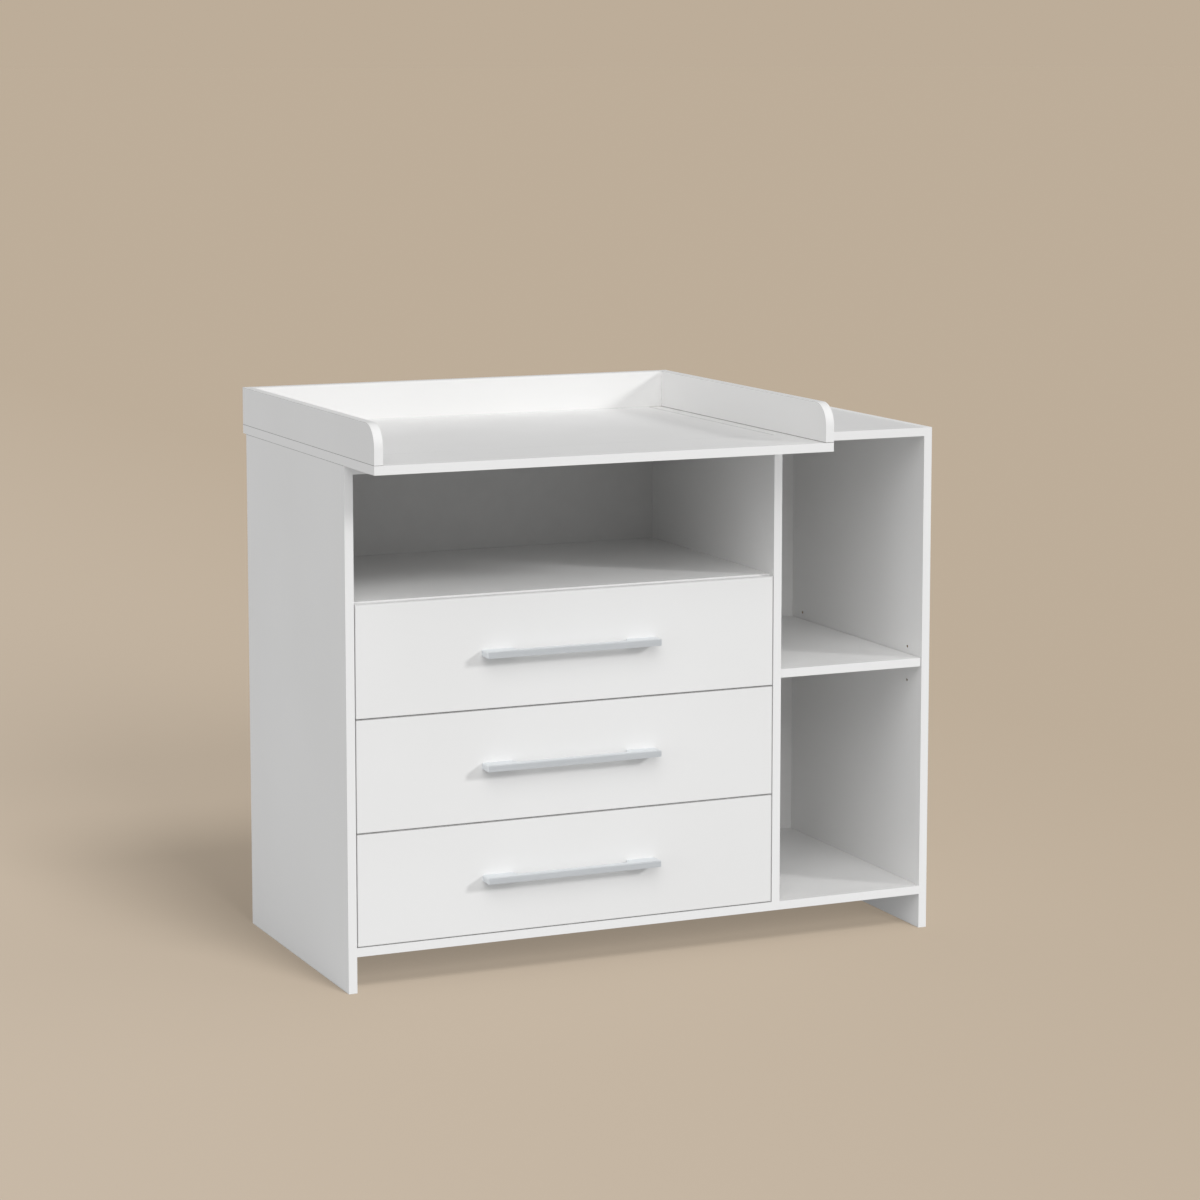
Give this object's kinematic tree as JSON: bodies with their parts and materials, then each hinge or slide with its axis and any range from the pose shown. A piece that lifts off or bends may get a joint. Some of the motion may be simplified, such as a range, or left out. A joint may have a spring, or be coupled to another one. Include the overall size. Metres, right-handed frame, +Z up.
{
  "type": "changing table",
  "caption": "White changing dresser: inset drawers with bar handles, an open compartment, an open shelf bay, and an overhanging changing top with low rails.",
  "frame": {"origin": "bottom centre of the whole object's bounding box, on the floor", "axes": "+X to the right seen from the front, the drawer fronts face -Y, +Z up"},
  "size_m": [1.154, 0.71, 1.019],
  "materials": {
    "white_board": "white melamine-faced chipboard with matching edging, satin",
    "drawer_board": "white melamine-faced board, satin",
    "back_board": "white-lacquered hardboard, matte",
    "handle_metal": "satin anodised, silver",
    "runner_paint": "white powder-coated sheet steel",
    "roller_plastic": "white nylon",
    "bright_steel": "zinc-plated steel",
    "zinc": "die-cast zinc"
  },
  "bodies": {
    "cabinet": {"left_side_panel": "white_board", "right_side_panel": "white_board", "divider_panel": "white_board", "base_panel": "white_board", "left_top_panel": "white_board", "right_top_panel": "white_board", "compartment_shelf": "white_board", "adjustable_shelf": "white_board", "changing_board": "white_board", "changing_front_board": "white_board", "changing_rail_left": "white_board", "changing_rail_right": "white_board", "changing_rail_back": "white_board", "back_panel_left": "back_board", "back_panel_right": "back_board", "back_panel_screws": "bright_steel", "cam_bolts": "bright_steel", "cabinet_runner_screws": "bright_steel", "rail_screws": "bright_steel", "divider_screws": "bright_steel", "shelf_pins": "bright_steel", "cam_locks": "zinc", "cabinet_runners_bottom": "runner_paint", "cabinet_runners_middle": "runner_paint", "cabinet_runners_top": "runner_paint"},
    "drawer_bottom": {"drawer_bottom_front": "white_board", "drawer_bottom_side_left": "drawer_board", "drawer_bottom_side_right": "drawer_board", "drawer_bottom_back": "drawer_board", "drawer_bottom_bottom": "back_board", "drawer_bottom_handle": "handle_metal", "drawer_bottom_handle_screws": "bright_steel", "drawer_bottom_runner_screws": "bright_steel", "drawer_bottom_runners": "runner_paint"},
    "front_rollers_bottom": {"front_rollers_bottom": "roller_plastic"},
    "rear_rollers_bottom": {"drawer_bottom_rear_rollers": "roller_plastic"},
    "drawer_middle": {"drawer_middle_front": "white_board", "drawer_middle_side_left": "drawer_board", "drawer_middle_side_right": "drawer_board", "drawer_middle_back": "drawer_board", "drawer_middle_bottom": "back_board", "drawer_middle_handle": "handle_metal", "drawer_middle_handle_screws": "bright_steel", "drawer_middle_runner_screws": "bright_steel", "drawer_middle_runners": "runner_paint"},
    "front_rollers_middle": {"front_rollers_middle": "roller_plastic"},
    "rear_rollers_middle": {"drawer_middle_rear_rollers": "roller_plastic"},
    "drawer_top": {"drawer_top_front": "white_board", "drawer_top_side_left": "drawer_board", "drawer_top_side_right": "drawer_board", "drawer_top_back": "drawer_board", "drawer_top_bottom": "back_board", "drawer_top_handle": "handle_metal", "drawer_top_handle_screws": "bright_steel", "drawer_top_runner_screws": "bright_steel", "drawer_top_runners": "runner_paint"},
    "front_rollers_top": {"front_rollers_top": "roller_plastic"},
    "rear_rollers_top": {"drawer_top_rear_rollers": "roller_plastic"}
  },
  "joints": [
    {"name": "drawer_bottom_slide", "type": "slide", "parent": "cabinet", "child": "drawer_bottom", "axis": [0, -1, 0], "range_m": [0, 0.33]},
    {"name": "front_rollers_bottom_spin", "type": "hinge", "parent": "cabinet", "child": "front_rollers_bottom", "pos_m": [0, -0.168, 0.118], "axis": [1, 0, 0], "range_deg": [-5, 1600]},
    {"name": "rear_rollers_bottom_spin", "type": "hinge", "parent": "drawer_bottom", "child": "rear_rollers_bottom", "pos_m": [0, 0.252, 0.1162], "axis": [1, 0, 0], "range_deg": [-5, 1600]},
    {"name": "drawer_middle_slide", "type": "slide", "parent": "cabinet", "child": "drawer_middle", "axis": [0, -1, 0], "range_m": [0, 0.33]},
    {"name": "front_rollers_middle_spin", "type": "hinge", "parent": "cabinet", "child": "front_rollers_middle", "pos_m": [0, -0.168, 0.3208], "axis": [1, 0, 0], "range_deg": [-5, 1600]},
    {"name": "rear_rollers_middle_spin", "type": "hinge", "parent": "drawer_middle", "child": "rear_rollers_middle", "pos_m": [0, 0.252, 0.319], "axis": [1, 0, 0], "range_deg": [-5, 1600]},
    {"name": "drawer_top_slide", "type": "slide", "parent": "cabinet", "child": "drawer_top", "axis": [0, -1, 0], "range_m": [0, 0.33]},
    {"name": "front_rollers_top_spin", "type": "hinge", "parent": "cabinet", "child": "front_rollers_top", "pos_m": [0, -0.168, 0.5236], "axis": [1, 0, 0], "range_deg": [-5, 1600]},
    {"name": "rear_rollers_top_spin", "type": "hinge", "parent": "drawer_top", "child": "rear_rollers_top", "pos_m": [0, 0.252, 0.5218], "axis": [1, 0, 0], "range_deg": [-5, 1600]}
  ],
  "couplings": [
    {"joint": "front_rollers_bottom_spin", "follows": "drawer_bottom_slide", "rad_per_m": 84.034},
    {"joint": "rear_rollers_bottom_spin", "follows": "drawer_bottom_slide", "rad_per_m": 84.034},
    {"joint": "front_rollers_middle_spin", "follows": "drawer_middle_slide", "rad_per_m": 84.034},
    {"joint": "rear_rollers_middle_spin", "follows": "drawer_middle_slide", "rad_per_m": 84.034},
    {"joint": "front_rollers_top_spin", "follows": "drawer_top_slide", "rad_per_m": 84.034},
    {"joint": "rear_rollers_top_spin", "follows": "drawer_top_slide", "rad_per_m": 84.034}
  ]
}
